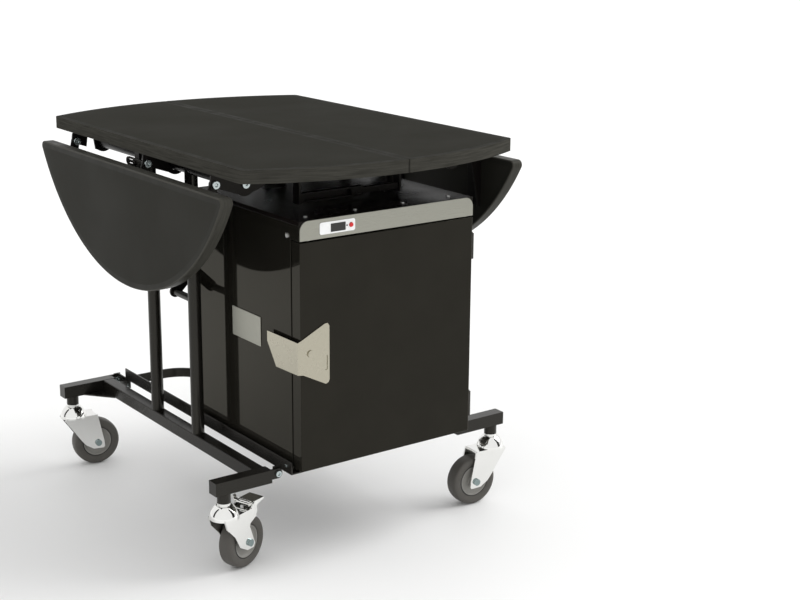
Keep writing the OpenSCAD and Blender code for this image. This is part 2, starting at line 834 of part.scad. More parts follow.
// Folded sheet casing of the cabinet and its header, open at the cavity
module cabinet_body() {
    color(black_coat) difference() {
        union() {
            block([-half_cabinet, body_front, cabinet_floor], [half_cabinet, cabinet_back, body_top]);
            block([-half_cabinet, header_front, header_bottom],
                [half_cabinet, body_front + 1, body_top]);
        }
        block([-half_cabinet + sheet, body_front + sheet, cabinet_floor + sheet],
            [half_cabinet - sheet, cabinet_back - sheet, body_top - sheet]);
        block([-half_cabinet + sheet, header_front + sheet, header_bottom + sheet],
            [half_cabinet - sheet, body_front + 2 * sheet, body_top - sheet]);
        block([-cavity_half, body_front - 1, cavity_bottom], [cavity_half, cavity_back, cavity_top]);
        bar_y(button_x, panel_z, header_front - 1, 6, button_radius + running_gap);
    }
}

// Insulation between the casing and the liner
module cabinet_insulation() {
    color([0.75, 0.72, 0.6]) difference() {
        block([-half_cabinet + sheet, body_front + sheet, cabinet_floor + sheet],
            [half_cabinet - sheet, cabinet_back - sheet, cavity_top + 20]);
        block([-cavity_half, body_front - 1, cavity_bottom], [cavity_half, cavity_back, cavity_top]);
    }
}

module cabinet_liner() {
    ledge = [8, 2];
    inner = cavity_half - liner_wall;
    color(steel) {
        difference() {
            block([-cavity_half, body_front, cavity_bottom], [cavity_half, cavity_back, cavity_top]);
            block([-inner, body_front - 1, cavity_bottom + liner_wall],
                [inner, cavity_back - liner_wall, cavity_top - liner_wall]);
        }
        both_sides() for (h = shelf_heights)
            block([inner - ledge[0], body_front + 12, cavity_bottom + h - ledge[1]],
                [inner + liner_wall / 2, cavity_back - 2, cavity_bottom + h]);
    }
}

shelf_thickness = 2;

// Slotted shelves that lie on the liner's ledges
module cabinet_shelves() {
    half = cavity_half - liner_wall - 1;
    front = body_front + 14;
    back = cavity_back - 6;
    slots = 9;
    step = 2 * (half - 16) / slots;
    color(steel) for (h = shelf_heights) translate([0, 0, cavity_bottom + h]) difference() {
        block([-half, front, 0], [half, back, shelf_thickness]);
        for (k = [0 : slots - 1]) translate([-half + 16 + (k + 0.5) * step, 0, 0])
            block([-6, front + 24, -1], [6, back - 24, shelf_thickness + 1]);
    }
}

guard_margin = 58;

// Slotted guard in front of the heater, on the liner's back wall
module heater_guard() {
    y = cavity_back - liner_wall - 14;
    slots = 7;
    bottom = cavity_bottom + 22;
    pitch = 9;
    half = cavity_half - guard_margin;
    slot = half - 20;
    color(steel) difference() {
        block([-half, y, cavity_bottom + 14],
            [half, cavity_back - liner_wall, cavity_bottom + 20 + (slots + 1) * pitch]);
        block([2 - half, y + 1.5, cavity_bottom + 16],
            [half - 2, cavity_back, cavity_bottom + 18 + (slots + 1) * pitch]);
        for (k = [0 : slots - 1])
            block([-slot, y - 1, bottom + k * pitch], [slot, y + 2, bottom + k * pitch + 4]);
    }
}

// Folded lid that lies on the body, with a rim all round
module cabinet_cover() {
    outer = half_cabinet + lid_lip;
    inner = half_cabinet - sheet;
    color(black_coat) difference() {
        block([-outer, header_front, body_top], [outer, cabinet_back + lid_lip, cabinet_top]);
        block([-inner, header_front + sheet, body_top - 1],
            [inner, cabinet_back - sheet, cabinet_top - sheet]);
    }
}

module cabinet_fascia() {
    bottom = header_bottom + 1;
    top = cabinet_top;
    r = fascia_radius;
    color(steel) difference() {
        plate_xz(cabinet_front, fascia_thickness) {
            translate([-half_cabinet, bottom]) square([2 * half_cabinet, top - bottom - r]);
            translate([-half_cabinet + r, bottom]) square([2 * half_cabinet - 2 * r, top - bottom]);
            for (s = [-1, 1]) translate([s * (half_cabinet - r), top - r]) circle(r = r);
        }
        bar_y(button_x, panel_z, cabinet_front - 1, 4, button_radius + running_gap);
    }
}

screw_radius = 3.5;
lid_screw_inset = 28;
lid_screw_left = 31;
lid_screw_right = 36;

module cabinet_screws() {
    pitch = (cabinet_width - lid_screw_left - lid_screw_right) / 3;
    color(zinc) {
        for (k = [0 : 3])
            translate([-half_cabinet + lid_screw_left + pitch * k, header_front + lid_screw_inset,
                cabinet_top])
                cylinder(h = 1.6, r = screw_radius);
        both_sides() translate([half_cabinet, body_front + 9, cabinet_top - 30.5])
            rotate([0, 90, 0]) cylinder(h = 2.2, r = screw_radius + 1);
    }
}

module control_panel() {
    color("white") difference() {
        plate_xz(cabinet_front - panel_thickness, panel_thickness)
            translate([panel_centre, panel_z]) round_rectangle(panel_size, 4);
        bar_y(button_x, panel_z, cabinet_front - 3, 4, button_radius + running_gap);
    }
}

// The display's window and the small lamp beside the button
module display_window() {
    depth = 0.6;
    color([0.05, 0.06, 0.07]) {
        plate_xz(cabinet_front - panel_thickness - depth, depth) {
            translate([panel_centre + 1, panel_z - 0.5]) round_rectangle([31.5, 15], 1);
        }
        bar_y(button_x - 9, panel_z, cabinet_front - panel_thickness - depth, depth, 1.5);
    }
}

module power_button() {
    color([0.75, 0.08, 0.08])
        bar_y(button_x, panel_z, cabinet_front - panel_thickness - 2, 4.6, button_radius);
}

side_plate_size = [102, 57];
side_plate_inset = 186;
side_plate_rise = 234;

module side_plate() {
    plate = 1.5;
    color(steel) plate_yz(-half_cabinet - plate, plate)
        translate([cabinet_front + side_plate_inset, door_bottom + side_plate_rise])
            round_rectangle(side_plate_size, 1.5);
}

// A barrel piece on the door's axis
module barrel(low, length, r) {
    translate([door_axis[0], door_axis[1], low]) cylinder(h = length, r = r);
}

hinge_leaf = 2;
half_barrel = (hinge_length - running_gap) / 2;

// The two hinges' lower barrels with their leaves on the cabinet's side, and the pins
module door_hinges() {
    seat = body_front + 2;
    color(black_coat) for (z = door_hinge_heights) {
        barrel(z, half_barrel, barrel_radius);
        barrel(z, hinge_length + running_gap + 1, door_pin_radius);
        barrel(z + hinge_length + running_gap, 2, door_pin_radius + 1);
        block([half_cabinet + running_gap, door_axis[1], z],
            [half_cabinet + running_gap + hinge_leaf, seat + 1, z + half_barrel]);
        block([half_cabinet, seat, z],
            [half_cabinet + running_gap + hinge_leaf, seat + 26, z + half_barrel]);
    }
}

// The two hinges' upper barrels with their leaves on the door's side
module door_hinge_leaves() {
    color(black_coat) for (z = door_hinge_heights) difference() {
        union() {
            barrel(z + half_barrel + running_gap, half_barrel, barrel_radius);
            block([half_cabinet, cabinet_front + 2, z + half_barrel + running_gap],
                [half_cabinet + hinge_leaf, door_back - 2, z + hinge_length]);
        }
        barrel(z - 1, hinge_length + 2, door_pin_radius + pin_clearance);
    }
}

// Folded sheet skin of the door, closed all round its core
module door_panel() {
    color(black_coat) difference() {
        block([-half_cabinet, cabinet_front, door_bottom], [half_cabinet, door_back, door_top]);
        block([-half_cabinet + sheet, cabinet_front + sheet, door_bottom + sheet],
            [half_cabinet - sheet, door_back - sheet, door_top - sheet]);
    }
}

module door_core() {
    color([0.75, 0.72, 0.6])
        block([-half_cabinet + sheet, cabinet_front + sheet, door_bottom + sheet],
            [half_cabinet - sheet, door_back - sheet, door_top - sheet]);
}

module door_gasket() {
    width = 8;
    color([0.15, 0.15, 0.15]) difference() {
        block([-cavity_half - width, door_back, cavity_bottom - width],
            [cavity_half + width, body_front - running_gap, cavity_top + width]);
        block([-cavity_half, door_back - 1, cavity_bottom], [cavity_half, body_front, cavity_top]);
    }
}

handle_sheet = 2;
handle_standoff = 6;
handle_rise = 223.5;

// Steel pull plate that wraps the door's free corner and stands off the cabinet's side.
// Its outlines are drawn from the door's free edge and the pull plate's middle height.
module door_handle() {
    side = -half_cabinet - handle_standoff;
    wing = side - handle_sheet + half_cabinet;
    face = cabinet_front - handle_sheet;
    middle = door_bottom + handle_rise;
    color(steel) {
        difference() {
            plate_xz(face, handle_sheet) translate([-half_cabinet, middle])
                polygon([[wing, -36], [4, -38], [52, -62.5], [58, -60], [60, -55], [60, 46],
                    [56, 51.5], [50, 51], [0, 27], [wing, 24]]);
            plate_xz(face - 1, handle_sheet + 2)
                translate([-half_cabinet + 53, middle - 22]) round_rectangle([6, 28], 2);
        }
        plate_yz(side - handle_sheet, handle_sheet) translate([face, middle])
            polygon([[0, -36], [73, -38], [103, 4], [103, 23], [0, 24]]);
        bar_y(-half_cabinet + 19.5, middle, face - 2.5, 2.5, 6.5);
    }
}

// Local frame of a caster: the swivel axis is z, the wheel trails along +x
module at_caster(k) {
    side = k < 2 ? -1 : 1;
    end = (k == 0 || k == 2) ? -1 : 1;
    translate([side * caster_offset, end * arm_y + base_shift, 0])
        rotate([0, 0, caster_angles[k]]) children();
}

// Side view of a fork's leg; a braked leg has an ear for the pedal's pivot
module fork_leg(braked) {
    trail = [caster_trail, bridge_top];
    difference() {
        if (braked)
            polygon([[-22, bridge_top], [-16, bridge_top - 18], axle + [-41.5, 24.2],
                axle + [-28, -0.8], axle + [-7, -13], axle + [11, -13.2], axle + [14.8, -5.8],
                axle + [1, 31.2], axle + [2.7, 37.2], brake_pivot + [2.4, -19],
                brake_pivot + [4.5, -2], brake_pivot + [8, 6], brake_pivot + [-2, 9],
                trail + [6.8, 0]]);
        else
            polygon([[-22, bridge_top], [-25, bridge_top - 4.5], axle + [-53, 33.2],
                axle + [-37, 9.2], axle + [-28, -1.8], axle + [-11, -12.5], axle + [11.8, -13.5],
                axle + [14.5, -9.8], axle + [13.6, 2.2], trail + [0.8, 0]]);
        translate(axle) circle(r = axle_radius + pin_clearance);
        if (braked) translate(brake_pivot) circle(r = 3 + pin_clearance);
    }
}

// Half outline of the bell over the fork's plate, from its middle out
function bell_outline() = concat(
    [[0, 0]],
    [for (i = [0 : 8]) let (a = i * bell_turn / 8)
        [(bell_radius + bell_inset) * cos(a) - bell_inset, (bell_radius + bell_inset) * sin(a)]],
    [[collar_radius, bell_top - bridge_z - collar_height], [collar_radius, bell_top - bridge_z],
        [0, bell_top - bridge_z]]);

// Chromed fork with its swivel bell and the wheel's axle bolt
module caster_fork(k, braked) {
    leg = fork_half_width - fork_wall;
    color(chrome) at_caster(k) {
        difference() {
            union() {
                for (y = [-fork_half_width, leg]) plate_xz(y, fork_wall) fork_leg(braked);
                translate([0, -leg - 1, bridge_z])
                    cube([caster_trail - 1, 2 * leg + 2, fork_wall]);
                translate([0, 0, bridge_z]) rotate_extrude() polygon(bell_outline());
            }
            translate([0, 0, bridge_z - 1])
                cylinder(h = bell_top, r = kingpin_radius + pin_clearance);
        }
        bar_y(caster_trail, wheel_radius, -fork_half_width, 2 * fork_half_width, axle_radius);
        bar_y(caster_trail, wheel_radius, -fork_half_width - 4, 4, 7);
        bar_y(caster_trail, wheel_radius, fork_half_width, 4, 7);
        if (braked)
            bar_y(brake_pivot[0], brake_pivot[1], -fork_half_width, 2 * fork_half_width, 3);
    }
}

module caster_tyre(k) {
    half = tyre_width / 2;
    r = wheel_radius;
    color([0.3, 0.3, 0.29]) at_caster(k)
        translate([caster_trail, 0, wheel_radius]) rotate([-90, 0, 0]) rotate_extrude($fn = 96)
            polygon([[hub_radius + pin_clearance, -half + 3], [r - 9, -half], [r - 4, -half + 1.2],
                [r - 1.2, -half + 4], [r - 0.3, -half + 8], [r, -half + 12], [r, half - 12],
                [r - 0.3, half - 8], [r - 1.2, half - 4], [r - 4, half - 1.2], [r - 9, half],
                [hub_radius + pin_clearance, half - 3]]);
}

module caster_hub(k) {
    half = tyre_width / 2;
    boss = half + 2 - running_gap;
    color([0.42, 0.42, 0.41]) at_caster(k)
        translate([caster_trail, 0, wheel_radius]) rotate([-90, 0, 0]) rotate_extrude($fn = 96)
            polygon([[axle_radius + pin_clearance, -boss], [10, -boss], [11, -half + 7],
                [hub_radius - 6, -half + 6], [hub_radius - 4, -half + 3], [hub_radius, -half + 3],
                [hub_radius, half - 3], [hub_radius - 4, half - 3], [hub_radius - 6, half - 6],
                [11, half - 7], [10, boss], [axle_radius + pin_clearance, boss]]);
}

// Foot pedal of a braked caster: a flanged plate with a tread bar, and the shoe over the tyre.
// Its outlines are drawn from the pedal's pivot.
module brake_pedal(k) {
    ear = fork_half_width - fork_wall - 0.6;
    ear_wall = 2.6;
    inner = ear - ear_wall;
    plate_low = 6;
    plate_high = 9;
    px = brake_pivot[0];
    pz = brake_pivot[1];
    color(chrome) at_caster(k) {
        difference() {
            union() {
                for (y = [-ear, inner]) plate_xz(y, ear_wall) translate(brake_pivot)
                    polygon([[-10, plate_high], [-6.5, -2], [-3, -6], [3, -6], [8, -1],
                        [31, plate_low], [31, plate_high]]);
                plate_xz(inner, ear_wall) translate(brake_pivot)
                    polygon([[-5, plate_low], [-5, plate_high], [-9, plate_high + 1], [-12, 21],
                        [-20, 21], [-16, plate_low]]);
                plate_xz(-inner - 1, 2 * inner + 2) translate(brake_pivot)
                    polygon([[-8, plate_low], [6, plate_low], [8, -12], [8, -16], [12, -17.5],
                        [13, -14], [9.5, plate_low], [31, plate_low], [31, plate_high],
                        [-8, plate_high]]);
                bar_y(px - 8, pz + plate_low + 0.5, -inner - 1, 2 * inner + 2, 5.4);
            }
            bar_y(px, pz, -fork_half_width, 2 * fork_half_width, 3 + pin_clearance);
        }
    }
}

module front_left_fork() { caster_fork(0, true); }
module front_left_tyre() { caster_tyre(0); }
module front_left_hub() { caster_hub(0); }
module front_left_pedal() { brake_pedal(0); }
module rear_left_fork() { caster_fork(1, false); }
module rear_left_tyre() { caster_tyre(1); }
module rear_left_hub() { caster_hub(1); }
module front_right_fork() { caster_fork(2, false); }
module front_right_tyre() { caster_tyre(2); }
module front_right_hub() { caster_hub(2); }
module rear_right_fork() { caster_fork(3, true); }
module rear_right_tyre() { caster_tyre(3); }
module rear_right_hub() { caster_hub(3); }
module rear_right_pedal() { brake_pedal(3); }

left_top_board();
left_top_edge();
right_top_board();
right_top_edge();
left_leaf_board();
left_leaf_edge();
right_leaf_board();
right_leaf_edge();
left_leaf_straps();
right_leaf_straps();
left_lock_lever();
right_lock_lever();
left_top_brackets();
right_top_brackets();
leaf_bolts();
seam_hinges();
seam_stay();
base_rails();
caster_arms();
caster_stems();
uprights();
cross_tubes();
frame_bolts();
fold_links();
link_pins();
link_lugs();
carrier_rails();
rear_bow();
cabinet_body();
cabinet_insulation();
cabinet_liner();
cabinet_cover();
cabinet_screws();
cabinet_fascia();
cabinet_shelves();
heater_guard();
control_panel();
display_window();
power_button();
side_plate();
door_hinges();
door_hinge_leaves();
door_panel();
door_core();
door_gasket();
door_handle();
front_left_fork();
front_left_tyre();
front_left_hub();
front_left_pedal();
rear_left_fork();
rear_left_tyre();
rear_left_hub();
front_right_fork();
front_right_tyre();
front_right_hub();
rear_right_fork();
rear_right_tyre();
rear_right_hub();
rear_right_pedal();
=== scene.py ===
"""Looks of the folding room service table: finishes, rounded edges, recesses, studio and camera."""
import json
import math

import bpy
import numpy
from mathutils import Matrix, Vector


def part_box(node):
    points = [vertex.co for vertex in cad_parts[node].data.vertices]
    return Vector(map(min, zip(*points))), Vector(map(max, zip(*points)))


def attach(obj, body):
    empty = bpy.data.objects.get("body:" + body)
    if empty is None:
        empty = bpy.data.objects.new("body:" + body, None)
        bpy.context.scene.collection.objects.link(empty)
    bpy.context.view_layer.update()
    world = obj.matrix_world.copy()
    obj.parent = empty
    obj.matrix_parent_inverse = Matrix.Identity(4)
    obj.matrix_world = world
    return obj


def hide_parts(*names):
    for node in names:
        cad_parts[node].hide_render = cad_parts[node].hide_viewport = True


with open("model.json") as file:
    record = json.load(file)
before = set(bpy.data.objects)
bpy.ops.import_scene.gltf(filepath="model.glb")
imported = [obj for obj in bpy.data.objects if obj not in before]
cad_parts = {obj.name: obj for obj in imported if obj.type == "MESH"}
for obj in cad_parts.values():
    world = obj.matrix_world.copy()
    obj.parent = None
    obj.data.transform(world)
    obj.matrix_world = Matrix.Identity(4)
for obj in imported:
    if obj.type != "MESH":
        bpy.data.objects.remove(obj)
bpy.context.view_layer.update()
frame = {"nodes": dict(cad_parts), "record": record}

MM = 0.001
SIDES = ("left", "right")
CORNERS = ("front_left", "rear_left", "front_right", "rear_right")
BRAKED_CORNERS = ("front_left", "rear_right")


def each(places, piece):
    """The names of one piece at each of its places, such as left_top_board and right_top_board."""
    return [f"{place}_{piece}" for place in places]


# ---------------------------------------------------------------- parts of a material

def new_material(name):
    """Make a material and give its nodes, links and main shader."""
    material = bpy.data.materials.new(name)
    material.use_nodes = True
    nodes = material.node_tree.nodes
    return material, nodes, material.node_tree.links, nodes["Principled BSDF"]


def object_coordinates(nodes, links, scale=(1, 1, 1)):
    """Object coordinates, stretched per axis."""
    coordinate = nodes.new("ShaderNodeTexCoord")
    mapping = nodes.new("ShaderNodeMapping")
    mapping.inputs["Scale"].default_value = scale
    links.new(coordinate.outputs["Object"], mapping.inputs["Vector"])
    return mapping.outputs["Vector"]


def grain_coordinates(nodes, links, axis, along, across):
    """Object coordinates for a grain: scaled by along on one axis and by across on the others."""
    scale = [across] * 3
    scale[axis] = along
    return object_coordinates(nodes, links, tuple(scale))


def noise(nodes, links, vector, scale, detail, roughness=0.5):
    texture = nodes.new("ShaderNodeTexNoise")
    texture.inputs["Scale"].default_value = scale
    texture.inputs["Detail"].default_value = detail
    texture.inputs["Roughness"].default_value = roughness
    links.new(vector, texture.inputs["Vector"])
    return texture.outputs["Fac"]


def between(nodes, links, factor, low, high, start=0.35, end=0.65):
    """Map a factor to a number between low and high."""
    remap = nodes.new("ShaderNodeMapRange")
    remap.inputs["From Min"].default_value = start
    remap.inputs["From Max"].default_value = end
    remap.inputs["To Min"].default_value = low
    remap.inputs["To Max"].default_value = high
    links.new(factor, remap.inputs["Value"])
    return remap.outputs["Result"]


def scaled(colour, factor):
    """A colour made lighter or darker by one factor."""
    return tuple(min(1, channel * factor) for channel in colour)


def blend_colours(nodes, links, factor, low, high):
    """Blend two colours by a factor."""
    mix = nodes.new("ShaderNodeMix")
    mix.data_type = "RGBA"
    mix.inputs["A"].default_value = (*low, 1)
    mix.inputs["B"].default_value = (*high, 1)
    links.new(factor, mix.inputs["Factor"])
    return mix.outputs["Result"]


def where_marked(nodes, links, attribute, plain, marked):
    """The plain colour, and the marked one where the attribute is 1. Each is a colour or a socket."""
    mark = nodes.new("ShaderNodeAttribute")
    mark.attribute_name = attribute
    mix = nodes.new("ShaderNodeMix")
    mix.data_type = "RGBA"
    for name, colour in (("A", plain), ("B", marked)):
        if isinstance(colour, tuple):
            mix.inputs[name].default_value = (*colour, 1)
        else:
            links.new(colour, mix.inputs[name])
    links.new(mark.outputs["Fac"], mix.inputs["Factor"])
    return mix.outputs["Result"]


def bump(nodes, links, shader, height, strength, distance):
    node = nodes.new("ShaderNodeBump")
    node.inputs["Strength"].default_value = strength
    node.inputs["Distance"].default_value = distance
    links.new(height, node.inputs["Height"])
    links.new(node.outputs["Normal"], shader.inputs["Normal"])


WARM_SHEEN = (1.0, 0.97, 0.87, 1)


def set_sheen(shader, shine):
    """Give a dark surface its faint, warm sheen."""
    shader.inputs["Specular IOR Level"].default_value = shine
    shader.inputs["Specular Tint"].default_value = WARM_SHEEN


# ---------------------------------------------------------------- materials

LIGHT_PATCH = 1.35  # how much lighter a dark coat or laminate gets in its palest patches
PEEL_STRENGTH = 0.25  # bump strength of coats and of drawn lines
TEXTURE_STRENGTH = 0.15  # bump strength of moulded and laminated surfaces


def powder_coat(name, colour, gloss, grain=900, depth=0.00004, shine=0.4, metal=0.0):
    """Powder coated steel: fine orange peel and a slow drift in the gloss."""
    material, nodes, links, shader = new_material(name)
    vector = object_coordinates(nodes, links)
    peel = noise(nodes, links, vector, scale=grain, detail=2)
    drift = noise(nodes, links, vector, scale=14, detail=4)
    coat = blend_colours(nodes, links, drift, colour, scaled(colour, LIGHT_PATCH))
    links.new(coat, shader.inputs["Base Color"])
    links.new(between(nodes, links, drift, gloss * 0.88, gloss * 1.15), shader.inputs["Roughness"])
    bump(nodes, links, shader, peel, PEEL_STRENGTH, depth)
    set_sheen(shader, shine)
    shader.inputs["Metallic"].default_value = metal
    return material


def laminate(name, colour, grain_axis, shine):
    """High pressure laminate: fine pores that run along one axis."""
    material, nodes, links, shader = new_material(name)
    grain = grain_coordinates(nodes, links, grain_axis, along=9, across=110)
    pores = noise(nodes, links, grain, scale=9, detail=5, roughness=0.65)
    haze = noise(nodes, links, object_coordinates(nodes, links), scale=5, detail=3)
    face = blend_colours(nodes, links, pores, colour, scaled(colour, LIGHT_PATCH))
    links.new(face, shader.inputs["Base Color"])
    links.new(between(nodes, links, haze, 0.5, 0.6), shader.inputs["Roughness"])
    set_sheen(shader, shine)
    bump(nodes, links, shader, pores, TEXTURE_STRENGTH, distance=0.00008)
    return material


def extruded_edge(name, colour, rim_colour, arris_highlight, thin_axis, shine):
    """Moulded edge band: drawn lines run along its rim, and its flat faces match the laminate.

    The faces' attribute "rim" is 1 round the outside and 0 on the two flat faces, and "arris" is 1 on
    the narrow roundings between them, which get a painted highlight: a lighter colour standing in for
    the light that they catch.
    """
    material, nodes, links, shader = new_material(name)
    grain = grain_coordinates(nodes, links, thin_axis, along=420, across=16)
    lines = noise(nodes, links, grain, scale=1, detail=4, roughness=0.7)
    cloud = noise(nodes, links, object_coordinates(nodes, links), scale=40, detail=4)
    depth = between(nodes, links, lines, low=0, high=1, start=0.3, end=0.7)
    drawn = blend_colours(nodes, links, depth, scaled(rim_colour, 0.72), scaled(rim_colour, 1.5))
    banded = where_marked(nodes, links, "rim", colour, drawn)
    # painted highlight: the rounded arrises take a lighter colour in place of the light they catch
    painted_highlight = where_marked(nodes, links, "arris", banded, scaled(rim_colour, arris_highlight))
    links.new(painted_highlight, shader.inputs["Base Color"])
    links.new(between(nodes, links, cloud, 0.34, 0.44), shader.inputs["Roughness"])
    set_sheen(shader, shine)
    bump(nodes, links, shader, lines, PEEL_STRENGTH, distance=0.0001)
    return material


def plated(name, colour, roughness, ripple=0.08, bolt_colour=None):
    """Bright plating with a faint haze, in the bolt colour where the attribute "bolt" is 1."""
    material, nodes, links, shader = new_material(name)
    vector = object_coordinates(nodes, links)
    haze = noise(nodes, links, vector, scale=60, detail=3)
    shader.inputs["Metallic"].default_value = 1.0
    plating = blend_colours(nodes, links, haze, scaled(colour, 0.95), colour)
    if bolt_colour:
        plating = where_marked(nodes, links, "bolt", plating, bolt_colour)
    links.new(plating, shader.inputs["Base Color"])
    polish = between(nodes, links, haze, roughness * 0.85, roughness * 1.2)
    links.new(polish, shader.inputs["Roughness"])
    waves = noise(nodes, links, vector, scale=35, detail=2)
    bump(nodes, links, shader, waves, strength=ripple, distance=0.0003)
    return material


def brushed(name, colour, roughness, axis):
    """Brushed stainless steel, with hairlines along one axis."""
    material, nodes, links, shader = new_material(name)
    grain = grain_coordinates(nodes, links, axis, along=9, across=900)
    hair = noise(nodes, links, grain, scale=1.6, detail=4, roughness=0.6)
    shader.inputs["Metallic"].default_value = 1.0
    shader.inputs["Anisotropic"].default_value = 0.4
    steel = blend_colours(nodes, links, hair, scaled(colour, 0.82), colour)
    links.new(steel, shader.inputs["Base Color"])
    polish = between(nodes, links, hair, roughness * 0.8, roughness * 1.25)
    links.new(polish, shader.inputs["Roughness"])
    bump(nodes, links, shader, hair, strength=0.12, distance=0.00005)
    return material


def moulded(name, colour, roughness, grain=500, dark=0.85, light=1.12, groove_shade_colour=None):
    """Moulded plastic or rubber, finely textured, with painted groove shade where the attribute "rim"
    is 1.
    """
    material, nodes, links, shader = new_material(name)
    vector = object_coordinates(nodes, links)
    cloud = noise(nodes, links, vector, scale=45, detail=4)
    body = blend_colours(nodes, links, cloud, scaled(colour, dark), scaled(colour, light))
    if groove_shade_colour:
        # painted shade: the marked faces take a dark colour standing in for the shade in the groove by
        # the tyre
        body = where_marked(nodes, links, "rim", body, groove_shade_colour)
    links.new(body, shader.inputs["Base Color"])
    dullness = between(nodes, links, cloud, roughness * 0.9, roughness * 1.1)
    links.new(dullness, shader.inputs["Roughness"])
    fine = noise(nodes, links, vector, scale=grain, detail=3)
    bump(nodes, links, shader, fine, TEXTURE_STRENGTH, distance=0.0001)
    return material


# ---------------------------------------------------------------- finishes

X, Y, Z = range(3)
BLACK_LAMINATE = (0.0218, 0.0213, 0.0179)
LEAF_LAMINATE = scaled(BLACK_LAMINATE, 0.93)
EDGE_RIM = (0.039, 0.0378, 0.0325)
BLUED_ZINC = (0.25, 0.31, 0.31)
# painted shade: the dark colour on a hub's outer sloped faces stands in for the shade in the groove
# between hub and tyre
HUB_GROOVE_SHADE = (0.012, 0.011, 0.01)

FINISH = {
    "top": laminate("black_laminate", BLACK_LAMINATE, grain_axis=X, shine=0.002),
    "leaf": laminate("black_laminate_leaf", LEAF_LAMINATE, grain_axis=Z, shine=0.05),
    # arris_highlight: how much lighter than the rim colour the painted highlight on the rounded arrises
    # is
    "edge": extruded_edge("moulded_edge", BLACK_LAMINATE, EDGE_RIM, arris_highlight=2.0, thin_axis=Z, shine=0.002),
    "leaf_edge": extruded_edge("moulded_leaf_edge", LEAF_LAMINATE, EDGE_RIM, arris_highlight=1.3, thin_axis=X,
                               shine=0.05),
    "frame": powder_coat("frame_powder_coat", (0.0085, 0.0078, 0.0068), gloss=0.22, shine=0.32),
    # painted shade: a darker, duller copy of the frame's coat, standing in for the shade that falls on
    # the base rails
    "rail": powder_coat("shaded_rail_coat", (0.0075, 0.0068, 0.0058), gloss=0.24, shine=0.2),
    # painted shade: a darker, duller copy of the frame's coat for the parts in shade under the top
    "shade": powder_coat("shaded_frame_coat", (0.005, 0.0042, 0.004), gloss=0.3, shine=0.14),
    "gloss": powder_coat("cabinet_gloss_coat", (0.0165, 0.0153, 0.0122), gloss=0.05, grain=300,
                         depth=0.00001, shine=0.1, metal=0.45),
    "lid": powder_coat("lid_coat", (0.0055, 0.0042, 0.0038), gloss=0.24, grain=300, depth=0.00002,
                       shine=0.12),
    "zinc": plated("bright_zinc", (0.5, 0.56, 0.56), roughness=0.22),
    "screw": plated("screw_steel", (0.9, 0.9, 0.88), roughness=0.5),
    "chrome": plated("bright_chrome", (0.84, 0.84, 0.82), roughness=0.06, bolt_colour=BLUED_ZINC),
    "handle": plated("satin_nickel", (0.44, 0.415, 0.335), roughness=0.24, ripple=0.02),
    "fascia": brushed("brushed_fascia", (0.36, 0.357, 0.31), roughness=0.33, axis=X),
    "liner": brushed("brushed_liner", (0.6, 0.6, 0.58), roughness=0.35, axis=Y),
    "rubber": moulded("grey_rubber", (0.067, 0.062, 0.054), roughness=0.55, grain=350),
    "hub": moulded("grey_nylon", (0.23, 0.224, 0.205), roughness=0.45, dark=0.88, light=1.0,
                   groove_shade_colour=HUB_GROOVE_SHADE),
    "seal": moulded("black_silicone", (0.01, 0.01, 0.01), roughness=0.5),
    "panel": moulded("white_overlay", (0.86, 0.87, 0.87), roughness=0.18, grain=120),
    "display": moulded("dark_window", (0.012, 0.012, 0.011), roughness=0.06, grain=60),
    "button": moulded("red_button", (0.62, 0.008, 0.01), roughness=0.3, grain=120),
    "wool": moulded("mineral_wool", (0.5, 0.46, 0.34), roughness=0.9, grain=250),
}

# Every node that isn't named here has the frame's coat.
NODES_WITH = {
    "top": each(SIDES, "top_board"),
    "leaf": each(SIDES, "leaf_board"),
    "edge": each(SIDES, "top_edge"),
    "leaf_edge": each(SIDES, "leaf_edge"),
    "rail": ["base_rails"],
    "shade": [*each(SIDES, "top_brackets"), *each(SIDES, "leaf_straps"),
              "seam_stay", "fold_links", "link_lugs", "cross_tubes"],
    "gloss": ["cabinet_body", "door_panel"],
    "lid": ["cabinet_cover"],
    "zinc": ["leaf_bolts", "frame_bolts", "seam_hinges"],
    "screw": ["cabinet_screws"],
    "chrome": [*each(CORNERS, "fork"), *each(BRAKED_CORNERS, "pedal")],
    "fascia": ["cabinet_fascia", "side_plate"],
    "liner": ["cabinet_liner", "cabinet_shelves", "heater_guard"],
    "handle": ["door_handle"],
    "rubber": each(CORNERS, "tyre"),
    "hub": each(CORNERS, "hub"),
    "seal": ["door_gasket"],
    "panel": ["control_panel"],
    "display": ["display_window"],
    "button": ["power_button"],
    "wool": ["cabinet_insulation", "door_core"],
}
LOOK_OF = {node: look for look, nodes in NODES_WITH.items() for node in nodes}


def give_finish(thing, node):
    thing.data.materials.clear()
    thing.data.materials.append(FINISH[LOOK_OF.get(node, "frame")])


for node, thing in frame["nodes"].items():
    give_finish(thing, node)

# ---------------------------------------------------------------- mesh tools

BODIES = frame["record"]["behaviour"]["bodies"]
BODY_OF = {node: body for body, nodes in BODIES.items() for node in nodes}

# Nodes whose flat faces frame an opening. A frame joined into one face closes over it when rounded.
FRAMED_OPENINGS = {"cabinet_body"}
MERGE_DISTANCE = 1e-6
FLAT_WITHIN = math.radians(0.6)
SHARP_FROM = math.radians(40)
SMOOTH_UP_TO = math.radians(35)


def deselect_all():
    for thing in bpy.context.selected_objects:
        thing.select_set(False)


def activate(piece):
    deselect_all()
    piece.select_set(True)
    bpy.context.view_layer.objects.active = piece


def new_piece(name, mesh):
    piece = bpy.data.objects.new(name, mesh)
    bpy.context.scene.collection.objects.link(piece)
    return piece


def new_mesh(name, points, faces):
    mesh = bpy.data.meshes.new(name)
    mesh.from_pydata(points, [], faces)
    return mesh


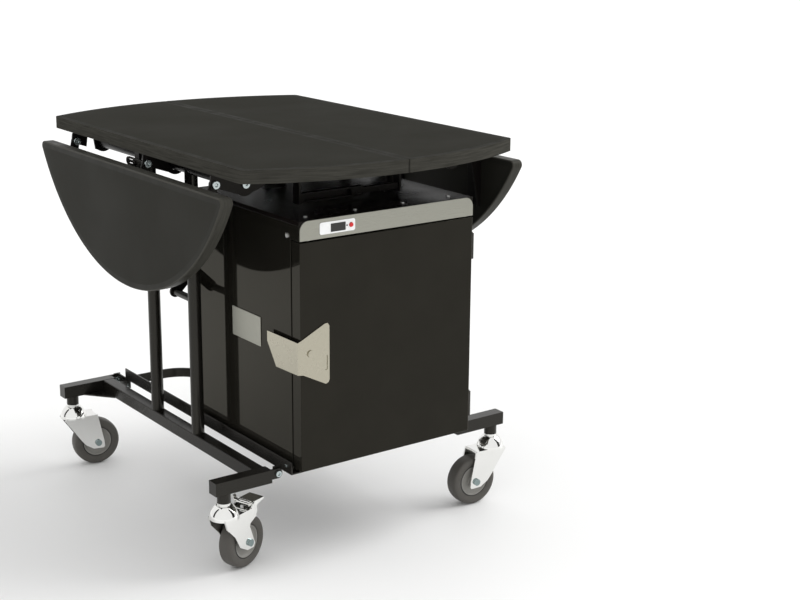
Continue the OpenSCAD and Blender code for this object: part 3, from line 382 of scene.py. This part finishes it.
def edit_whole_mesh(piece, *steps):
    """Run mesh operators, each given with its settings, on all of a piece."""
    activate(piece)
    bpy.ops.object.mode_set(mode="EDIT")
    bpy.ops.mesh.select_all(action="SELECT")
    for operator, settings in steps:
        operator(**settings)
    bpy.ops.object.mode_set(mode="OBJECT")


def apply_modifier(piece, kind, **settings):
    """Add a modifier with its settings and apply it."""
    modifier = piece.modifiers.new(kind.lower(), kind)
    for name, value in settings.items():
        setattr(modifier, name, value)
    activate(piece)
    bpy.ops.object.modifier_apply(modifier=modifier.name)


def mark_faces(mesh, name, is_marked):
    """Give each face the attribute 1 where is_marked holds for it, and 0 elsewhere."""
    mark = mesh.attributes.new(name, "FLOAT", "FACE")
    mark.data.foreach_set("value", [1.0 if is_marked(face) else 0.0 for face in mesh.polygons])


def merged_copy(node, name):
    """A copy of a CAD node's mesh, with its triangles joined into whole faces except in a frame."""
    piece = new_piece(name, frame["nodes"][node].data.copy())
    steps = [(bpy.ops.mesh.remove_doubles, {"threshold": MERGE_DISTANCE})]
    if node not in FRAMED_OPENINGS:
        steps.append((bpy.ops.mesh.dissolve_limited, {"angle_limit": FLAT_WITHIN}))
    edit_whole_mesh(piece, *steps)
    return piece


def round_edges(piece, width, steps, limit="ANGLE"):
    """Round the sharp edges, or with the limit WEIGHT the edges by their bevel weight."""
    apply_modifier(piece, "BEVEL", width=width, segments=steps, limit_method=limit,
                   angle_limit=SHARP_FROM, use_clamp_overlap=True, miter_outer="MITER_ARC")


def keep_large_faces_flat(piece):
    """Keep large faces flat and let only the narrow roundings shade softly."""
    activate(piece)
    bpy.ops.object.shade_smooth_by_angle(angle=SMOOTH_UP_TO)
    apply_modifier(piece, "WEIGHTED_NORMAL", mode="FACE_AREA_WITH_ANGLE", weight=100, keep_sharp=True)


def stand_in(piece, node):
    """The finished piece takes the node's place, body, finish and material slot."""
    keep_large_faces_flat(piece)
    give_finish(piece, node)
    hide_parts(node)
    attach(piece, BODY_OF[node])


# ---------------------------------------------------------------- recesses in bolts and screws

FRONT, REAR, UP = Vector((0, -1, 0)), Vector((0, 1, 0)), Vector((0, 0, 1))
LEFT, RIGHT = Vector((-1, 0, 0)), Vector((1, 0, 0))
CUTTER_RISE = 0.2 * MM  # how far a cutter stands out of the face that it cuts
FACING = 0.99  # least cosine between a head's face and the way it looks


def regular_outline(corners, radius):
    turns = [2 * math.pi * k / corners for k in range(corners)]
    return [(radius * math.cos(turn), radius * math.sin(turn)) for turn in turns]


def cross_outline(half_arm, reach):
    """A cross, made of the three points of one arm's corner, turned by quarters."""
    quarter = [(half_arm, half_arm), (half_arm, reach), (-half_arm, reach)]
    outline = []
    for _ in range(4):
        outline += quarter
        quarter = [(-b, a) for a, b in quarter]
    return outline


def prism(outline, origin, across, up, into, depth):
    """A closed prism over an outline given in metres, sunk below its origin and a little above it."""
    low = [origin + across * a + up * b - into * CUTTER_RISE for a, b in outline]
    high = [point + into * (depth + CUTTER_RISE) for point in low]
    count = len(outline)
    faces = [tuple(range(count)), tuple(reversed(range(count, 2 * count)))]
    faces += [(k, k + count, (k + 1) % count + count, (k + 1) % count) for k in range(count)]
    return low + high, faces


def cut_recesses(piece, way, smallest_area, outline, depth):
    """Cut one recess of the given outline into the middle of each large face that looks along way."""
    up = REAR if abs(way.z) > 0.5 else UP
    across = up.cross(way)
    points, faces = [], []
    for face in piece.data.polygons:
        if face.normal.dot(way) > FACING and face.area > smallest_area:
            more, sides = prism(outline, face.center.copy(), across, up, -way, depth)
            faces += [tuple(index + len(points) for index in side) for side in sides]
            points += more
    cutter = new_piece("recess_cutter", new_mesh("recess_cutter", points, faces))
    edit_whole_mesh(cutter, (bpy.ops.mesh.normals_make_consistent, {"inside": False}))
    apply_modifier(piece, "BOOLEAN", operation="DIFFERENCE", solver="EXACT", object=cutter)
    bpy.data.objects.remove(cutter)


SOCKET = regular_outline(6, 3.2 * MM)
CROSS = cross_outline(0.45 * MM, 2.1 * MM)
# node: the ways its heads look, the least area of a head in square metres, the outline, the depth
RECESSES = {
    "leaf_bolts": ((FRONT,), 1.1e-4, SOCKET, 2.6 * MM),
    "frame_bolts": ((FRONT, REAR), 1.0e-4, SOCKET, 2.2 * MM),
    "cabinet_screws": ((UP, LEFT, RIGHT), 3.0e-5, CROSS, 0.9 * MM),
}

# ---------------------------------------------------------------- marks on the casters

HUB_RING_RADIUS = 30.5 * MM  # inside radius of the painted groove shade round the hub's outer rim
AXLE_HEAD_RADIUS = 7.5 * MM  # the axle bolt's head lies wholly within it
ALMOST_SQUARE, ALMOST_ALONG = 0.05, 0.97  # cosines to the axle between which a face is sloped


def axle_line(hub_mesh):
    """The middle of a hub and the direction of its axle, along which the hub is thinnest."""
    points = numpy.array([vertex.co for vertex in hub_mesh.vertices])
    centre = (points.min(axis=0) + points.max(axis=0)) / 2
    ways = numpy.linalg.eigh(numpy.cov((points - centre).T)).eigenvectors
    return Vector(centre), Vector(ways[:, 0])


def distance_from_line(point, centre, way):
    arm = point - centre
    return (arm - way * arm.dot(way)).length


def mark_shaded_groove(hub):
    """Mark the sloped faces of a hub that lie beyond the ring's radius, which get the painted groove
    shade.
    """
    centre, axle = axle_line(hub.data)

    def on_ring(face):
        sloped = ALMOST_SQUARE < abs(face.normal.dot(axle)) < ALMOST_ALONG
        return sloped and distance_from_line(face.center, centre, axle) > HUB_RING_RADIUS

    mark_faces(hub.data, "rim", on_ring)


def mark_axle_bolt(fork, hub_node):
    """Mark the faces of a fork that lie wholly near its wheel's axle."""
    centre, axle = axle_line(frame["nodes"][hub_node].data)
    gaps = [distance_from_line(vertex.co, centre, axle) for vertex in fork.data.vertices]
    mark_faces(fork.data, "bolt", lambda face: max(gaps[k] for k in face.vertices) < AXLE_HEAD_RADIUS)


# ---------------------------------------------------------------- floor of the pull plate's slot

SLOT_FROM_RIGHT = 7 * MM
SLOT_FROM_FRONT = 4.1 * MM
SLOT_FROM_BOTTOM = 40.5 * MM
SLOT_FLOOR_HALF = Vector((2.9, 0.3, 13.9)) * MM


def close_slot(handle, node):
    """Close the pull plate's slot with a floor just under its face."""
    low, high = (Vector(corner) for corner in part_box(node))
    middle = Vector((high.x - SLOT_FROM_RIGHT, low.y + SLOT_FROM_FRONT, low.z + SLOT_FROM_BOTTOM))
    ends = (-1, 1)
    corners = [middle + SLOT_FLOOR_HALF * Vector((a, b, c)) for a in ends for b in ends for c in ends]
    faces = [(0, 1, 3, 2), (4, 6, 7, 5), (0, 4, 5, 1), (2, 3, 7, 6), (0, 2, 6, 4), (1, 5, 7, 3)]
    floor = new_piece("slot_floor", new_mesh("slot_floor", corners, faces))
    activate(handle)
    floor.select_set(True)
    bpy.ops.object.join()


# ---------------------------------------------------------------- rounded pieces

TOP_RIM_ROUNDING = 1.4 * MM
LEAF_RIM_ROUNDING = 2.6 * MM
RIM_STEPS = 4
SEAM_WEIGHT = 0.3  # share of the rim's rounding that the arrises at the seam get
SEAM_REACH = 5 * MM  # faces nearer than this to the middle of the top are at the seam
LEVEL = 0.995  # least cosine, to the thin axis, of a flat face after the rounding
NEARLY_LEVEL = 0.9  # the same before the rounding
UPRIGHT = 0.1  # greatest cosine of a face on the rim itself
EDGE_STEPS = 2


def rounded_node(node, width):
    """A CAD node with all its sharp edges rounded."""
    piece = merged_copy(node, node + "_rounded")
    if node in RECESSES:
        ways, smallest_area, outline, depth = RECESSES[node]
        for way in ways:
            cut_recesses(piece, way, smallest_area, outline, depth)
    round_edges(piece, width, EDGE_STEPS)
    if node.endswith("_hub"):
        mark_shaded_groove(piece)
    if node.endswith("_fork"):
        mark_axle_bolt(piece, node.replace("_fork", "_hub"))
    if node == "door_handle":
        close_slot(piece, node)
    stand_in(piece, node)


def side_of(face, thin_axis, middle):
    """Which side of a moulded edge a face is on: flat, seam, out or in."""
    if abs(face.normal[thin_axis]) > NEARLY_LEVEL:
        return "flat"
    if abs(face.center.x) < SEAM_REACH:
        return "seam"
    return "out" if face.normal.dot(face.center - middle) > 0 else "in"


def rounded_rim(node, width, thin_axis):
    """A moulded edge: its two outer arrises are rounded, and those at the seam a little."""
    piece = merged_copy(node, node + "_moulded")
    mesh = piece.data
    middle = sum((vertex.co for vertex in mesh.vertices), Vector()) / len(mesh.vertices)
    sides = {}
    for face in mesh.polygons:
        for key in face.edge_keys:
            sides.setdefault(key, set()).add(side_of(face, thin_axis, middle))
    weights = mesh.attributes.new("bevel_weight_edge", "FLOAT", "EDGE")
    for edge in mesh.edges:
        if {"flat", "out"} <= sides[edge.key]:
            weights.data[edge.index].value = 1.0
        elif {"flat", "seam"} <= sides[edge.key]:
            weights.data[edge.index].value = SEAM_WEIGHT
    round_edges(piece, width, RIM_STEPS, limit="WEIGHT")
    mark_faces(mesh, "rim", lambda face: abs(face.normal[thin_axis]) <= LEVEL)
    mark_faces(mesh, "arris", lambda face: UPRIGHT < abs(face.normal[thin_axis]) < LEVEL)
    stand_in(piece, node)


for side in SIDES:
    rounded_rim(side + "_top_edge", TOP_RIM_ROUNDING, Z)
    rounded_rim(side + "_leaf_edge", LEAF_RIM_ROUNDING, X)

# Rounding of each node's sharp edges, in millimetres
ROUNDING = {
    "base_rails": 2.2, "caster_arms": 1.2, "cabinet_cover": 1.0, "cabinet_body": 0.8, "door_panel": 1.3,
    "door_handle": 0.5, "control_panel": 0.4, "carrier_rails": 0.6, "fold_links": 0.7, "seam_stay": 0.6,
    "rear_bow": 0.6,
    **dict.fromkeys(each(SIDES, "leaf_straps"), 0.6),
    **dict.fromkeys(each(SIDES, "top_brackets"), 0.6),
    **dict.fromkeys(each(SIDES, "lock_lever"), 0.5),
    "cabinet_fascia": 0.3, "leaf_bolts": 0.9, "frame_bolts": 0.9, "cabinet_screws": 0.3,
    "power_button": 0.7, "side_plate": 0.4, "link_pins": 0.8,
    **dict.fromkeys(each(CORNERS, "fork"), 0.5),
    **dict.fromkeys(each(BRAKED_CORNERS, "pedal"), 0.4),
    "caster_stems": 0.8, "door_hinges": 0.4, "door_hinge_leaves": 0.4,
    **dict.fromkeys(each(CORNERS, "hub"), 1.7),
    **dict.fromkeys(each(CORNERS, "tyre"), 0.9),
}
for node, width in ROUNDING.items():
    rounded_node(node, width * MM)

# ---------------------------------------------------------------- studio

FLOOR_SIZE = 60
FLOOR_COLOURS = (0.82, 0.82, 0.815), (0.84, 0.84, 0.835)
KEY_ENERGY = 1.9
KEY_SPREAD = math.radians(38)
TOWARDS_KEY = Vector((0.76, -0.22, 0.6))
WORLD_STRENGTH = 1.0
CARD_COLOURS = (0.006, 0.006, 0.006), (0.012, 0.012, 0.012)
CARD_HEIGHT = 9.0
CARD_DISTANCE = 6.0
CARD_LIFT = 0.05  # gap between a card and the floor


def studio_floor():
    """A wide, flat, pale floor."""
    deselect_all()
    bpy.ops.mesh.primitive_plane_add(size=FLOOR_SIZE, location=(0, 0, 0))
    floor = bpy.context.object
    floor.name = "studio_floor"
    material, nodes, links, shader = new_material("pale_floor")
    cloud = noise(nodes, links, object_coordinates(nodes, links), scale=0.8, detail=2)
    links.new(blend_colours(nodes, links, cloud, *FLOOR_COLOURS), shader.inputs["Base Color"])
    shader.inputs["Roughness"].default_value = 0.55
    shader.inputs["Specular IOR Level"].default_value = 0.3
    floor.data.materials.append(material)


def studio_light():
    """An even white world and one very soft key light from the right."""
    world = bpy.data.worlds.new("studio")
    bpy.context.scene.world = world
    world.use_nodes = True
    background = world.node_tree.nodes["Background"]
    background.inputs["Color"].default_value = (1, 1, 1, 1)
    background.inputs["Strength"].default_value = WORLD_STRENGTH
    key = bpy.data.lights.new("key_light", "SUN")
    key.energy = KEY_ENERGY
    key.angle = KEY_SPREAD
    lamp = bpy.data.objects.new("key_light", key)
    bpy.context.scene.collection.objects.link(lamp)
    lamp.rotation_euler = TOWARDS_KEY.to_track_quat("Z", "Y").to_euler()
    bpy.context.scene.view_settings.view_transform = "Standard"


def dark_card(name, azimuth, width):
    """A tall black card that only mirrors show, which gives the chrome its dark streaks."""
    deselect_all()
    turn = math.radians(azimuth)
    place = Vector((math.sin(turn), -math.cos(turn), 0)) * CARD_DISTANCE
    place.z = CARD_HEIGHT / 2 + CARD_LIFT
    bpy.ops.mesh.primitive_plane_add(size=1, location=place, rotation=(math.pi / 2, 0, turn))
    card = bpy.context.object
    card.name = name
    card.scale = (width, CARD_HEIGHT, 1)
    material, nodes, links, shader = new_material(name)
    weave = noise(nodes, links, object_coordinates(nodes, links), scale=60, detail=3)
    links.new(blend_colours(nodes, links, weave, *CARD_COLOURS), shader.inputs["Base Color"])
    shader.inputs["Roughness"].default_value = 0.9
    card.data.materials.append(material)
    card.visible_camera = False
    card.visible_shadow = False
    card.visible_diffuse = False


# ---------------------------------------------------------------- camera

# The camera's place, aim and lens, found from the photograph with the table's standard sizes
EYE = Vector((-1.5517, -2.51288, 1.21626))
AZIMUTH = math.radians(-34.74)
ELEVATION = math.radians(14.75)
SENSOR_WIDTH = 36
FOCAL_LENGTH = 66.57
SHIFT_RIGHT = 0.0614
SHIFT_UP = -0.0226
VIEW_DISTANCE = 200


def camera():
    data = bpy.data.cameras.new("camera")
    data.sensor_width = SENSOR_WIDTH
    data.lens = FOCAL_LENGTH
    data.shift_x = SHIFT_RIGHT
    data.shift_y = SHIFT_UP
    data.clip_end = VIEW_DISTANCE
    thing = bpy.data.objects.new("camera", data)
    bpy.context.scene.collection.objects.link(thing)
    level = math.cos(ELEVATION)
    back = Vector((math.sin(AZIMUTH) * level, -math.cos(AZIMUTH) * level, math.sin(ELEVATION)))
    right = Vector((math.cos(AZIMUTH), math.sin(AZIMUTH), 0))
    up = back.cross(right)
    thing.matrix_world = Matrix.Translation(EYE) @ Matrix((right, up, back)).transposed().to_4x4()
    bpy.context.scene.camera = thing


studio_floor()
studio_light()
dark_card("right_card", 44, 2.4)
dark_card("left_card", -112, 1.6)
camera()
